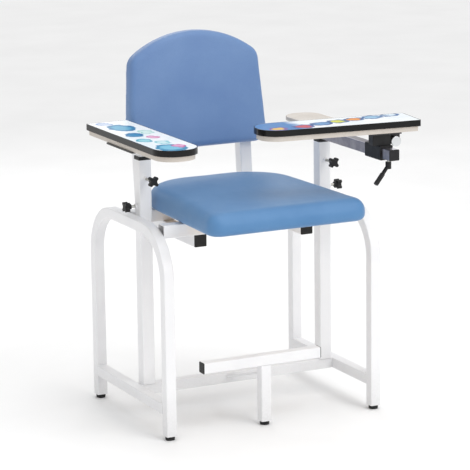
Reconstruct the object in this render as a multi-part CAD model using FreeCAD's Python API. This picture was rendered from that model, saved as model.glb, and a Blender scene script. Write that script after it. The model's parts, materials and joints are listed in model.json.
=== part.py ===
"""Extra-tall blood-drawing chair: welded square-tube frame, vinyl seat and back, two height-adjustable arms.

The left arm is a fixed board.  The right arm carries a board that lies across the lap, slides along a boom
and flips up about a hinge.  Millimetres, +Z up, the sitter faces -Y, and +X is the sitter's left-hand side
as seen from in front of the chair.  Everything is built about the middle of the base and then moved so that
the origin is under the middle of the overall box, on the floor.
"""
import FreeCAD
import Part
import math
import os

Vector = FreeCAD.Vector

# ---- tubes -------------------------------------------------------------------------------------------
FRAME_TUBE = 31.75          # outside size of the square tube of the arches, rails and footrest
POST_TUBE = FRAME_TUBE + 6.35   # outside size of the posts, seat rails and uprights; the arms'
                            # frame-size tubes slide inside the posts
TUBE_WALL = 1.65            # wall of both tubes
TUBE_CORNER = 3.0           # outside corner radius of both tubes
CAP_LIP = 2.0               # thickness of a tube cap's lip
CAP_DEPTH = 14.0            # how far a cap's plug goes into its tube

# ---- base --------------------------------------------------------------------------------------------
BASE_WIDTH = 698.0          # outside of the left arch to outside of the right arch
BASE_DEPTH = 533.0          # front of the front legs to back of the rear legs
ARCH_HEIGHT = 612.0         # floor to the top of an arch
ARCH_BEND = 152.0           # outside bend radius of an arch
RAIL_TOP = 104.2            # floor to the top of the low rails
LEG_BOTTOM = 12.0           # floor to the cut end of a leg
POST_SETBACK = -8.0         # middle of the posts, along Y
POST_TOP = ARCH_HEIGHT + 162.0  # floor to the cut top of a post
POST_SPACER = 4.2           # weld pad between a post and its arch
CENTRE_SHIFT = -25.0        # the seat, back and footrest sit this far towards the fixed arm

# ---- feet --------------------------------------------------------------------------------------------
FOOT_RADIUS = 14.0
FOOT_HEIGHT = 9.0           # height of the glide under the leg
FOOT_DOME = 3.0             # rounding of the glide's lower edge
FOOT_STUD_RADIUS = 4.0
FOOT_STUD_LENGTH = 30.0
PLUG_HEIGHT = 22.0          # plug in the end of a leg
THREAD_CLEARANCE = 0.05     # radial gap between a stud and its nut or plug

# ---- footrest ----------------------------------------------------------------------------------------
FOOTREST_LENGTH = 376.0
FOOTREST_SHIFT = -10.5      # middle of the bar from the middle of its leg
FOOTREST_TOP = 212.0
FOOTREST_LEG_Y = -241.0     # middle of the footrest's leg
BRACE_HIGH_END = 150.0      # height of the brace where it leaves the footrest's leg
BRACE_RISE = 6.6            # thickness of the brace measured straight up, as it slopes

# ---- seat frame --------------------------------------------------------------------------------------
SEAT_RAIL_SPACING = 343.4   # middle to middle
SEAT_RAIL_BOTTOM = ARCH_HEIGHT - 73.6
SEAT_RAIL_FRONT = -185.0
CROSS_TUBE_FRONT = -181.0   # middle of the front cross tube
CROSS_TUBE_REAR = 45.0      # middle of the rear cross tube
UPRIGHT_FOOT_Y = 210.7      # middle of an upright where its line meets the seat rail's
UPRIGHT_LEAN = 5.0          # degrees, backwards
SEAT_TUBE_BEND = 70.0       # middle-line radius of the bend from rail to upright
UPRIGHT_LENGTH = 440.0

# ---- seat --------------------------------------------------------------------------------------------
SEAT_FRONT = -428.0
SEAT_REAR = 156.0
SEAT_FRONT_WIDTH = 506.0
SEAT_REAR_WIDTH = 458.0
SEAT_FRONT_CORNER = 43.0
SEAT_REAR_CORNER = 165.0
SEAT_THICK = 65.0           # seat pad, with the board let into its underside
SEAT_BOARD_THICK = 12.0
SEAT_MARGIN = 28.0          # vinyl turned under round the board
SEAT_EDGE = 36.0            # rounding of the seat's upper edge
SEAT_TUCK = 18.0            # rounding of its lower edge, where the vinyl is turned under
SEAT_SCREW_BITE = 7.2       # how far a seat screw goes into the seat board

# ---- back --------------------------------------------------------------------------------------------
BACK_BOTTOM = 194.0         # lower edge of the back pad above the foot of the uprights, along the lean
BACK_HEIGHT = 353.0
BACK_SHOULDER = 280.0       # lower edge to the ends of the arched top
BACK_WIDTH = 462.0
BACK_TOP_WIDTH = 412.0
BACK_LOWER_CORNER = 40.0
BACK_UPPER_CORNER = 48.0
BACK_THICK = 36.0
BACK_BOARD_THICK = 10.0
BACK_MARGIN = 22.0
BACK_EDGE = 16.0            # rounding of the back pad's front edge
BACK_TUCK = 5.0             # rounding of its rear edge, next to the board
BACK_BOLT_BITE = 7.0        # how far a back bolt goes into the back board
BACK_TIP = 1.0              # first rounding of the outline where it meets the arched top
BACK_SHOULDER_BAND = 30.0   # the shoulders' corners lie no lower than this under the shoulder line

# ---- arms --------------------------------------------------------------------------------------------
INNER_LENGTH = 340.0        # inner tube, below the arm plate
SLIDE_GAP = 0.3             # gap round an inner tube, and under a part that rests on a stop
BUSHING_LIP = 10.0          # height of the bushing above the post
BUSHING_DEPTH = 40.0        # how far the bushing goes into the post
PLATE_THICK = 4.7
PLATE_LENGTH = 178.0
PLATE_WIDTH = 126.0
PLATE_REAR = 20.0
LEFT_RAISE = 38.7           # height at which the left arm is clamped, above its lowest
BASE_THICK = 15.0           # pad board under an arm board
BOARD_THICK = 18.0
LAMINATE = 1.0              # decorative laminate on the board's core
EDGE_BAND = 2.5             # thickness of the black edging
BOARD_WIDTH = 132.0
BOARD_NOSE = 60.0           # corner radius of an arm board's rounded end
BOARD_HEEL = 5.0            # corner radius at its square end
BASE_INSET = 7.0            # arm base inside the edge of its board
HEEL_LEAST = 0.5            # smallest corner radius of an inset outline
LEFT_BOARD_OUTWARD = 36.0   # board's middle, outwards of the post's middle
LEFT_BOARD_REAR = 164.0
LEFT_BOARD_LENGTH = 532.0
SCREW_HEAD_RADIUS = 4.5
SCREW_HEAD = 2.5
SCREW_RADIUS = 2.0
SCREW_LENGTH = 12.0
PLATE_SCREWS = (18.0, 108.0)    # behind the front of the arm plate
PLATE_SCREW_EDGE = 16.0

# ---- boom, slider and flip board ---------------------------------------------------------------------
BOOM_FRONT = -442.0         # cut front end of the boom
BOOM_REAR = 170.0           # cut rear end of the boom
SLIDER_LENGTH = 89.0
SLIDER_WALL = 4.5
SLIDER_FRONT = -398.0
BLOCK_WIDTH = FRAME_TUBE + 24.25     # so that the pin's head stays clear of the sleeve
BLOCK_DEPTH = 35.0
BLOCK_OFFSET = 7.3          # middle of the block, inwards of the middle of the boom
BLOCK_SETBACK = 8.0         # front of the sleeve to the front of the block
SKEW = 6.0                  # degrees that the flip board sits out of square on its slider
BLOCK_HEIGHT = 30.0
BARREL_LENGTH = 20.0
BLOCK_CORNER = 3.0
BARREL_SLACK = 1.0          # barrel's radius less than the knuckles'
WEB_OVERLAP = 4.0           # how far the barrel's web runs into the block
WEB_HALF = 6.0              # half the thickness of the web
PIN_RADIUS = 5.0
HINGE_DROP = 21.0           # top of the block to the middle of the pin
EYE_RADIUS = 12.0           # outside of the knuckles and of the barrel they turn beside
PIN_HEAD_RADIUS = 15.0
PIN_HEAD_THICK = 4.0
PIN_HEAD_EDGE = 1.2
PIN_CLEARANCE = 0.06
LEAF_THICK = 4.0
LEAF_WIDTH = 60.0
LEAF_RISE = 2.3             # gap between the block and the leaf, above it
LEAF_OVERHANG = 6.0         # leaf past the block's inner side
LEAF_SCREWS_X = (14.0, 52.0)    # from the leaf's inner end
LEAF_SCREWS_Y = (-20.0, 20.0)
KNUCKLE = 6.0
KNUCKLE_NECK = 4.0          # neck inwards of the pin's middle
FLIP_BOARD_LENGTH = 480.0
FLIP_BOARD_OUTWARD = 106.0  # middle of the right post to the square end of the flip board
FLIP_BOARD_FRONT = -410.0   # near long edge of the flip board

# ---- rest behind the flip board ----------------------------------------------------------------------
REST_WIDTH = 114.0
REST_LENGTH = 215.0
REST_REAR = 195.0
REST_OUTWARD = 20.0         # middle of the rest, outwards of the middle of the boom
REST_THICK = 12.0
REST_CORNER = 54.0
REST_EDGE = 3.0

# ---- knobs and lever ---------------------------------------------------------------------------------
KNOB_RADIUS = 17.0
KNOB_THICK = 14.0
KNOB_LOBE_PLACE = 11.5      # middle of the knob to the middle of a lobe
KNOB_NOTCH_PLACE = 17.5
KNOB_NOTCH = 8.0
KNOB_HUB_RADIUS = 8.0
KNOB_HUB = 7.0              # length of the hub behind the lobes
KNOB_CORE_RADIUS = 10.54
STUD_RADIUS = 4.0
NUT_RADIUS = 7.5
NUT_THICK = 8.0
UPPER_KNOB_Z = POST_TOP - 54.0
LOWER_KNOB_Z = POST_TOP - 136.0
UPPER_KNOB_REACH = 48.0     # face of the post to the face of the knob
LOWER_KNOB_REACH = 28.0
LEVER_HUB_RADIUS = 8.5
LEVER_HUB = 20.0
LEVER_LENGTH = 70.0
LEVER_STUD_RADIUS = 4.0
LEVER_ARM_HALF_WIDTH = 5.0
LEVER_ARM_HALF_THICK = 4.0
LEVER_ARM_CORNER = 2.0
LEVER_GRIP_SWELL = 1.3      # grip's section over the arm's
LEVER_GRIP_CORNER = 3.0
LEVER_GRIP_SHARE = 0.55     # share of the lever's length that is grip
LEVER_OUTWARD = 12.0        # middle of the lever's stud, outwards of the boom's middle
LEVER_SETBACK = 10.0        # behind the front of the sleeve
LEVER_GAP = 8.0             # bare thread between the sleeve and the lever's hub
LEVER_DIRECTION = (-47.0, -12.0, -48.0)

# ---- fixings -----------------------------------------------------------------------------------------
BACK_BOLT_HEIGHTS = (255.0, 405.0)      # up the uprights from the seat rails' middle
BOLT_RADIUS = 3.2
BOLT_HEAD_RADIUS = 6.5
BOLT_HEAD = 3.6
SEAT_SCREW_REACH = 120.0    # seat screws either side of the seat's middle
SEAT_SCREW_X = (CENTRE_SHIFT - SEAT_SCREW_REACH, CENTRE_SHIFT + SEAT_SCREW_REACH)

# ---- worked-out places -------------------------------------------------------------------------------
FRAME_MID = FRAME_TUBE / 2
POST_MID = POST_TUBE / 2
ARCH_X = BASE_WIDTH / 2 - FRAME_MID
POST_X = BASE_WIDTH / 2 - FRAME_TUBE - POST_SPACER - POST_MID
LEG_Y = BASE_DEPTH / 2 - FRAME_MID
SEAT_RAIL_TOP = SEAT_RAIL_BOTTOM + POST_TUBE
SEAT_BOTTOM = SEAT_RAIL_TOP + POST_TUBE
SEAT_RAIL_X = [CENTRE_SHIFT - SEAT_RAIL_SPACING / 2, CENTRE_SHIFT + SEAT_RAIL_SPACING / 2]
PLATE_BOTTOM = POST_TOP + BUSHING_LIP + SLIDE_GAP
LEFT_PLATE_BOTTOM = PLATE_BOTTOM + LEFT_RAISE
BASE_BOTTOM = LEFT_PLATE_BOTTOM + PLATE_THICK
LEFT_BOARD_X = -POST_X - LEFT_BOARD_OUTWARD
FLIP_BOARD_RIGHT = POST_X + FLIP_BOARD_OUTWARD
BOOM_BOTTOM = PLATE_BOTTOM
BOOM_Z = BOOM_BOTTOM + FRAME_MID
SLIDER_HALF = FRAME_MID + SLIDE_GAP + SLIDER_WALL
SLIDER_TOP = BOOM_Z + SLIDER_HALF
BLOCK_Y = SLIDER_FRONT + BLOCK_SETBACK + BLOCK_DEPTH / 2
BLOCK_TOP = SLIDER_TOP + BLOCK_HEIGHT
BLOCK_LEFT = POST_X - BLOCK_OFFSET - BLOCK_WIDTH / 2
HINGE_X = BLOCK_LEFT + BLOCK_WIDTH + PIN_HEAD_RADIUS + SLIDE_GAP
HINGE_Z = BLOCK_TOP - HINGE_DROP
LEAF_BOTTOM = BLOCK_TOP + LEAF_RISE
FLIP_BASE_BOTTOM = LEAF_BOTTOM + LEAF_THICK
LEVER_FOOT = (POST_X + LEVER_OUTWARD, SLIDER_FRONT + LEVER_SETBACK, BOOM_Z - SLIDER_HALF)

PARTS = {}


def add(name, *solids):
    """Keep one node: a single solid, or several separate solids of the same kind."""
    PARTS[name] = solids[0] if len(solids) == 1 else Part.makeCompound(list(solids))


def box(x0, x1, y0, y1, z0, z1):
    return Part.makeBox(x1 - x0, y1 - y0, z1 - z0, Vector(x0, y0, z0))


def cylinder(radius, start, direction, length):
    return Part.makeCylinder(radius, length, Vector(*start), Vector(*direction))


def rounded_outline(points, radii):
    """Closed flat outline through points, each corner rounded by its own radius with a tangent arc."""
    count = len(points)
    starts, middles, ends = [], [], []
    for i in range(count):
        corner = Vector(*points[i])
        before = (Vector(*points[i - 1]) - corner).normalize()
        after = (Vector(*points[(i + 1) % count]) - corner).normalize()
        half = before.getAngle(after) / 2
        reach = radii[i] / math.tan(half)
        centre = corner + (before + after).normalize() * (radii[i] / math.sin(half))
        starts.append(corner + before * reach)
        ends.append(corner + after * reach)
        middles.append(centre + (corner - centre).normalize() * radii[i])
    edges = []
    for i in range(count):
        edges.append(Part.Arc(starts[i], middles[i], ends[i]).toShape())
        following = starts[(i + 1) % count]
        if (following - ends[i]).Length > 1e-6:
            edges.append(Part.makeLine(ends[i], following))
    return Part.Wire(edges)


def square_profile(size, corner, centre, across, up):
    """Rounded square outline about a centre, in the plane of two unit vectors."""
    half = size / 2
    signs = [(-1, -1), (1, -1), (1, 1), (-1, 1)]
    points = [centre + across * (half * a) + up * (half * b) for a, b in signs]
    return rounded_outline([tuple(p) for p in points], [corner] * 4)


def ring_face(outer, inner):
    """Flat face between two closed outlines, one inside the other."""
    return Part.makeFace([outer, inner], "Part::FaceMakerBullseye")


def tube_face(size, centre, across, up):
    outer = square_profile(size, TUBE_CORNER, centre, across, up)
    inner = square_profile(size - 2 * TUBE_WALL, TUBE_CORNER - TUBE_WALL, centre, across, up)
    return ring_face(outer, inner)


def tube(size, start, end, across):
    """Straight square tube between two points; across is the direction of one side of its section."""
    a, b = Vector(*start), Vector(*end)
    along = (b - a).normalize()
    side = Vector(*across)
    up = along.cross(side).normalize()
    return tube_face(size, a, side, up).extrude(b - a)


def tube_cap(size, centre, outward):
    """Plastic cap: a square lip on the cut end and a plug inside the tube."""
    point, out = Vector(*centre), Vector(*outward)
    side = Vector(0, 0, 1) if abs(out.z) < 0.5 else Vector(1, 0, 0)
    up = out.cross(side)
    lip = Part.Face(square_profile(size, TUBE_CORNER, point, side, up)).extrude(out * CAP_LIP)
    inside = size - 2 * TUBE_WALL
    plug = Part.Face(square_profile(inside, TUBE_CORNER - TUBE_WALL, point, side, up))
    return lip.fuse(plug.extrude(out * -CAP_DEPTH)).removeSplitter()


def arch(x):
    """One side of the base: two legs and a top, bent from one square tube."""
    bend = ARCH_BEND - FRAME_MID
    side = Vector(1, 0, 0)
    straight = ARCH_HEIGHT - ARCH_BEND
    top_z = ARCH_HEIGHT - FRAME_MID
    pieces = []
    for sign in (-1, 1):
        foot = Vector(x, sign * LEG_Y, LEG_BOTTOM)
        leg = tube_face(FRAME_TUBE, foot, side, Vector(0, 1, 0))
        pieces.append(leg.extrude(Vector(0, 0, straight - LEG_BOTTOM)))
        corner = tube_face(FRAME_TUBE, Vector(x, sign * LEG_Y, straight), side, Vector(0, 1, 0))
        pivot = Vector(x, sign * (LEG_Y - bend), straight)
        pieces.append(corner.revolve(pivot, Vector(1, 0, 0), sign * 90))
    reach = LEG_Y - bend
    pieces.append(tube(FRAME_TUBE, (x, -reach, top_z), (x, reach, top_z), (1, 0, 0)))
    return pieces[0].fuse(pieces[1:]).removeSplitter()


def base_frame():
    add("left_arch", arch(-ARCH_X))
    add("right_arch", arch(ARCH_X))
    inner_y = BASE_DEPTH / 2 - FRAME_TUBE
    rail_z = RAIL_TOP - FRAME_MID
    for name, x in (("left_side_rail", -ARCH_X), ("right_side_rail", ARCH_X)):
        add(name, tube(FRAME_TUBE, (x, -inner_y, rail_z), (x, inner_y, rail_z), (1, 0, 0)))
    inner_x = BASE_WIDTH / 2 - FRAME_TUBE
    add("lower_cross_rail",
        tube(FRAME_TUBE, (-inner_x, POST_SETBACK, rail_z), (inner_x, POST_SETBACK, rail_z), (0, 1, 0)))


def knob_frames():
    """Name, post side, point on the post's face, outward direction and reach of each clamp knob."""
    front = POST_SETBACK - POST_MID
    frames = []
    for side, sign in (("left", -1), ("right", 1)):
        frames.append((side + "_upper_knob", (sign * POST_X, front, UPPER_KNOB_Z),
                       (0, -1, 0), UPPER_KNOB_REACH))
        frames.append((side + "_lower_knob", (sign * (POST_X + POST_MID), POST_SETBACK, LOWER_KNOB_Z),
                       (sign, 0, 0), LOWER_KNOB_REACH))
    return frames


def posts():
    for name, x in (("left_post", -POST_X), ("right_post", POST_X)):
        post = tube(POST_TUBE, (x, POST_SETBACK, RAIL_TOP), (x, POST_SETBACK, POST_TOP), (1, 0, 0))
        for knob, face, out, reach in knob_frames():
            if name.split("_")[0] == knob.split("_")[0]:
                inward = Vector(*out) * -POST_MID
                hole = Part.makeCylinder(STUD_RADIUS + THREAD_CLEARANCE, POST_MID, Vector(*face), inward)
                post = post.cut(hole)
        sign = 1 if x > 0 else -1
        inner, outer = sign * (POST_X + POST_MID), sign * (BASE_WIDTH / 2 - FRAME_TUBE)
        pad = box(min(inner, outer), max(inner, outer), POST_SETBACK - POST_MID / 2,
                  POST_SETBACK + POST_MID / 2, ARCH_HEIGHT - FRAME_TUBE, ARCH_HEIGHT)
        add(name, post.fuse(pad))
    nuts = []
    for knob, face, out, reach in knob_frames():
        corners = []
        side = Vector(0, 0, 1)
        up = Vector(*out).cross(side)
        for k in range(7):
            angle = math.radians(60 * k)
            corners.append(Vector(*face) + side * (NUT_RADIUS * math.cos(angle))
                           + up * (NUT_RADIUS * math.sin(angle)))
        nut = Part.Face(Part.makePolygon(corners)).extrude(Vector(*out) * NUT_THICK)
        nuts.append(nut.cut(cylinder(STUD_RADIUS + THREAD_CLEARANCE, face, out, NUT_THICK)))
    add("clamp_nuts", *nuts)
    bushings = []
    inside = POST_TUBE - 2 * TUBE_WALL
    hole_size = FRAME_TUBE + 2 * SLIDE_GAP
    for x in (-POST_X, POST_X):
        top = Vector(x, POST_SETBACK, POST_TOP)
        x_side, y_side = Vector(1, 0, 0), Vector(0, 1, 0)
        lip = Part.Face(square_profile(POST_TUBE, TUBE_CORNER, top, x_side, y_side))
        sleeve = Part.Face(square_profile(inside, TUBE_CORNER - TUBE_WALL, top, x_side, y_side))
        bore = Part.Face(square_profile(hole_size, TUBE_CORNER, top, x_side, y_side))
        body = lip.extrude(Vector(0, 0, BUSHING_LIP)).fuse(sleeve.extrude(Vector(0, 0, -BUSHING_DEPTH)))
        through = bore.extrude(Vector(0, 0, BUSHING_LIP)).fuse(bore.extrude(Vector(0, 0, -BUSHING_DEPTH)))
        bushings.append(body.cut(through).removeSplitter())
    add("post_bushings", *bushings)


def feet():
    plugs = []
    places = [("left_front", -ARCH_X, -LEG_Y), ("left_rear", -ARCH_X, LEG_Y),
              ("right_front", ARCH_X, -LEG_Y), ("right_rear", ARCH_X, LEG_Y),
              ("footrest", CENTRE_SHIFT, FOOTREST_LEG_Y)]
    inside = FRAME_TUBE - 2 * TUBE_WALL
    for name, x, y in places:
        low = Vector(x, y, LEG_BOTTOM)
        outline = square_profile(inside, TUBE_CORNER - TUBE_WALL, low, Vector(1, 0, 0), Vector(0, 1, 0))
        plug = Part.Face(outline).extrude(Vector(0, 0, PLUG_HEIGHT))
        hole = cylinder(FOOT_STUD_RADIUS + THREAD_CLEARANCE, (x, y, LEG_BOTTOM), (0, 0, 1), PLUG_HEIGHT)
        plugs.append(plug.cut(hole))
        glide = cylinder(FOOT_RADIUS, (x, y, 0), (0, 0, 1), FOOT_HEIGHT)
        rim = [e for e in glide.Edges if isinstance(e.Curve, Part.Circle) and e.CenterOfMass.z < 1.0]
        glide = glide.makeFillet(FOOT_DOME, rim)
        stud = cylinder(FOOT_STUD_RADIUS, (x, y, FOOT_HEIGHT), (0, 0, 1), FOOT_STUD_LENGTH)
        add(name + "_foot", glide.fuse(stud))
    add("leg_plugs", *plugs)


def footrest():
    bar_y = FOOTREST_LEG_Y
    bar_z = FOOTREST_TOP - FRAME_MID
    left = CENTRE_SHIFT + FOOTREST_SHIFT - FOOTREST_LENGTH / 2
    right = left + FOOTREST_LENGTH
    add("footrest_bar", tube(FRAME_TUBE, (left, bar_y, bar_z), (right, bar_y, bar_z), (0, 1, 0)))
    add("footrest_end_caps", tube_cap(FRAME_TUBE, (left, bar_y, bar_z), (-1, 0, 0)),
        tube_cap(FRAME_TUBE, (right, bar_y, bar_z), (1, 0, 0)))
    leg_top = FOOTREST_TOP - FRAME_TUBE
    add("footrest_leg",
        tube(FRAME_TUBE, (CENTRE_SHIFT, bar_y, LEG_BOTTOM), (CENTRE_SHIFT, bar_y, leg_top), (1, 0, 0)))
    y0 = FOOTREST_LEG_Y + FRAME_MID
    y1 = POST_SETBACK - FRAME_MID
    low = RAIL_TOP - FRAME_MID
    corners = [Vector(0, y0, BRACE_HIGH_END), Vector(0, y0, BRACE_HIGH_END + BRACE_RISE),
               Vector(0, y1, low + BRACE_RISE), Vector(0, y1, low), Vector(0, y0, BRACE_HIGH_END)]
    brace = Part.Face(Part.makePolygon(corners)).extrude(Vector(FRAME_TUBE, 0, 0))
    brace.translate(Vector(CENTRE_SHIFT - FRAME_MID, 0, 0))
    add("footrest_brace", brace)


def lean_point(height, forward=0.0):
    """Y and Z of a point height up the uprights' middle line and forward of it, square to the lean."""
    angle = math.radians(UPRIGHT_LEAN)
    y = UPRIGHT_FOOT_Y + height * math.sin(angle) - forward * math.cos(angle)
    z = SEAT_RAIL_BOTTOM + POST_MID + height * math.cos(angle) + forward * math.sin(angle)
    return y, z


def seat_tube(x):
    """Seat rail and back upright bent from one square tube."""
    rail_z = SEAT_RAIL_BOTTOM + POST_MID
    turn = 90.0 - UPRIGHT_LEAN
    tangent = SEAT_TUBE_BEND * math.tan(math.radians(turn / 2))
    bend_y = UPRIGHT_FOOT_Y - tangent
    side, up = Vector(1, 0, 0), Vector(0, 0, 1)
    pivot = Vector(x, bend_y, rail_z + SEAT_TUBE_BEND)
    rail = tube_face(POST_TUBE, Vector(x, SEAT_RAIL_FRONT, rail_z), side, up)
    rail = rail.extrude(Vector(0, bend_y - SEAT_RAIL_FRONT, 0))
    bend = tube_face(POST_TUBE, Vector(x, bend_y, rail_z), side, up).revolve(pivot, side, turn)
    low_y, low_z = lean_point(tangent)
    top_y, top_z = lean_point(UPRIGHT_LENGTH)
    upright = tube(POST_TUBE, (x, low_y, low_z), (x, top_y, top_z), (1, 0, 0))
    whole = rail.fuse([bend, upright]).removeSplitter()
    angle = math.radians(UPRIGHT_LEAN)
    for height in BACK_BOLT_HEIGHTS:
        y, z = lean_point(height, -POST_TUBE)
        hole = cylinder(BOLT_RADIUS, (x, y, z), (0, -math.cos(angle), math.sin(angle)), 2 * POST_TUBE)
        whole = whole.cut(hole)
    return whole


def seat_frame():
    rail_z = SEAT_RAIL_BOTTOM + POST_MID
    angle = math.radians(UPRIGHT_LEAN)
    top_y, top_z = lean_point(UPRIGHT_LENGTH)
    caps = []
    for name, x in (("left", SEAT_RAIL_X[0]), ("right", SEAT_RAIL_X[1])):
        add(name + "_seat_tube", seat_tube(x))
        caps.append(tube_cap(POST_TUBE, (x, SEAT_RAIL_FRONT, rail_z), (0, -1, 0)))
        caps.append(tube_cap(POST_TUBE, (x, top_y, top_z), (0, math.sin(angle), math.cos(angle))))
    add("seat_tube_caps", *caps)
    cross_z = SEAT_RAIL_TOP + POST_MID
    inner_x = BASE_WIDTH / 2 - FRAME_TUBE
    for name, y in (("front_cross_tube", CROSS_TUBE_FRONT), ("rear_cross_tube", CROSS_TUBE_REAR)):
        cross = tube(POST_TUBE, (-inner_x, y, cross_z), (inner_x, y, cross_z), (0, 1, 0))
        for x in SEAT_SCREW_X:
            cross = cross.cut(cylinder(SCREW_RADIUS, (x, y, SEAT_RAIL_TOP), (0, 0, 1), POST_TUBE))
        add(name, cross)


def seat_outline(inset, z):
    """Plan of the seat, wider in front, with a broad curve at each rear corner."""
    front = SEAT_FRONT_WIDTH / 2 - inset
    rear = SEAT_REAR_WIDTH / 2 - inset
    points = [(CENTRE_SHIFT - front, SEAT_FRONT + inset, z), (CENTRE_SHIFT + front, SEAT_FRONT + inset, z),
              (CENTRE_SHIFT + rear, SEAT_REAR - inset, z), (CENTRE_SHIFT - rear, SEAT_REAR - inset, z)]
    front_corner = SEAT_FRONT_CORNER - inset
    rear_corner = SEAT_REAR_CORNER - inset
    return rounded_outline(points, [front_corner, front_corner, rear_corner, rear_corner])


def edges_at(solid, z):
    return [e for e in solid.Edges if abs(e.BoundBox.ZMin - z) < 1e-4 and abs(e.BoundBox.ZMax - z) < 1e-4]


def seat():
    pad = Part.Face(seat_outline(0.0, SEAT_BOTTOM)).extrude(Vector(0, 0, SEAT_THICK))
    pad = pad.makeFillet(SEAT_EDGE, edges_at(pad, SEAT_BOTTOM + SEAT_THICK))
    pad = pad.makeFillet(SEAT_TUCK, edges_at(pad, SEAT_BOTTOM))
    board = Part.Face(seat_outline(SEAT_MARGIN, SEAT_BOTTOM)).extrude(Vector(0, 0, SEAT_BOARD_THICK))
    add("seat_pad", pad.cut(board))
    screws = []
    for x in SEAT_SCREW_X:
        for y in (CROSS_TUBE_FRONT, CROSS_TUBE_REAR):
            head = cylinder(SCREW_HEAD_RADIUS, (x, y, SEAT_RAIL_TOP), (0, 0, -1), SCREW_HEAD)
            shank = cylinder(SCREW_RADIUS, (x, y, SEAT_RAIL_TOP), (0, 0, 1),
                             POST_TUBE + SEAT_SCREW_BITE)
            screws.append(head.fuse(shank))
            board = board.cut(shank)
    add("seat_board", board)
    add("seat_screws", *screws)


def back_outline(inset):
    """Outline of the back in its own flat plane: x across, y up from the lower edge; arched top."""
    low, high = BACK_WIDTH / 2 - inset, BACK_TOP_WIDTH / 2 - inset
    shoulder, top = BACK_SHOULDER, BACK_HEIGHT - inset
    lower, upper = BACK_LOWER_CORNER - inset / 2, BACK_UPPER_CORNER - inset / 2
    rise = top - shoulder
    radius = (high * high + rise * rise) / (2 * rise)
    centre = Vector(0, top - radius, 0)
    lid = Part.makeCylinder(radius, 1.0, centre)
    slab_points = [(-low, inset, 0), (low, inset, 0), (high, top, 0), (-high, top, 0)]
    corners = [lower, lower, BACK_TIP, BACK_TIP]
    slab = Part.Face(rounded_outline(slab_points, corners)).extrude(Vector(0, 0, 1.0))
    plate = slab.common(lid)
    sharp = []
    for edge in plate.Edges:
        box_ = edge.BoundBox
        upright_edge = box_.ZLength > 0.5 and box_.XLength < 1e-3 and box_.YLength < 1e-3
        if upright_edge and box_.YMin > shoulder - BACK_SHOULDER_BAND:
            sharp.append(edge)
    plate = plate.makeFillet(upper, sharp)
    for face in plate.Faces:
        if abs(face.BoundBox.ZMin) < 1e-6 and face.BoundBox.ZLength < 1e-6:
            return face
    return plate.Faces[0]


def into_back(shape):
    """Turn a flat shape into the leaning plane of the back, its z axis pointing forwards."""
    shape.rotate(Vector(0, 0, 0), Vector(1, 0, 0), 90 - UPRIGHT_LEAN)
    y, z = lean_point(BACK_BOTTOM, POST_MID)
    shape.translate(Vector(CENTRE_SHIFT, y, z))
    return shape


def back():
    total = BACK_BOARD_THICK + BACK_THICK
    pad = back_outline(0.0).extrude(Vector(0, 0, total))
    pad = pad.makeFillet(BACK_EDGE, edges_at(pad, total))
    pad = pad.makeFillet(BACK_TUCK, edges_at(pad, 0.0))
    board = back_outline(BACK_MARGIN).extrude(Vector(0, 0, BACK_BOARD_THICK))
    pad = pad.cut(board)
    bolts = []
    for side in (-1, 1):
        for height in BACK_BOLT_HEIGHTS:
            at = Vector(side * SEAT_RAIL_SPACING / 2, height - BACK_BOTTOM, 0)
            start = at + Vector(0, 0, -POST_TUBE)
            head = Part.makeCylinder(BOLT_HEAD_RADIUS, BOLT_HEAD, start, Vector(0, 0, -1))
            shank = Part.makeCylinder(BOLT_RADIUS, POST_TUBE + BACK_BOLT_BITE, start)
            bolts.append(into_back(head.fuse(shank)))
            board = board.cut(Part.makeCylinder(BOLT_RADIUS, BACK_BOLT_BITE, at))
    add("back_pad", into_back(pad))
    add("back_board", into_back(board))
    add("back_bolts", *bolts)


def arm_outline(length, width, inset, z):
    """Plan of an arm board about its middle line: square heel at y = 0, rounded nose at y = -length."""
    half = width / 2 - inset
    points = [(-half, -length + inset, z), (half, -length + inset, z), (half, -inset, z), (-half, -inset, z)]
    nose = BOARD_NOSE - inset
    heel = max(BOARD_HEEL - inset, HEEL_LEAST)
    return rounded_outline(points, [nose, nose, heel, heel])


def arm_board(length, width, base_z, inset):
    """Base, core, laminate and edging of an arm board, in its own frame."""
    low = base_z + BASE_THICK
    core_inset = EDGE_BAND
    base = Part.Face(arm_outline(length, width, inset, base_z)).extrude(Vector(0, 0, BASE_THICK))
    core = Part.Face(arm_outline(length, width, core_inset, low))
    core = core.extrude(Vector(0, 0, BOARD_THICK - LAMINATE))
    skin = Part.Face(arm_outline(length, width, core_inset, low + BOARD_THICK - LAMINATE))
    skin = skin.extrude(Vector(0, 0, LAMINATE))
    ring = ring_face(arm_outline(length, width, 0.0, low), arm_outline(length, width, core_inset, low))
    edge = ring.extrude(Vector(0, 0, BOARD_THICK))
    return base, core, skin, edge


def screw_up(x, y, z):
    head = cylinder(SCREW_HEAD_RADIUS, (x, y, z), (0, 0, -1), SCREW_HEAD)
    return head.fuse(cylinder(SCREW_RADIUS, (x, y, z), (0, 0, 1), SCREW_LENGTH))


def screw_hole(x, y, z):
    return cylinder(SCREW_RADIUS, (x, y, z), (0, 0, 1), SCREW_LENGTH)


def inner_tube(x, top):
    return tube(FRAME_TUBE, (x, POST_SETBACK, top - INNER_LENGTH), (x, POST_SETBACK, top), (1, 0, 0))


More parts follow.
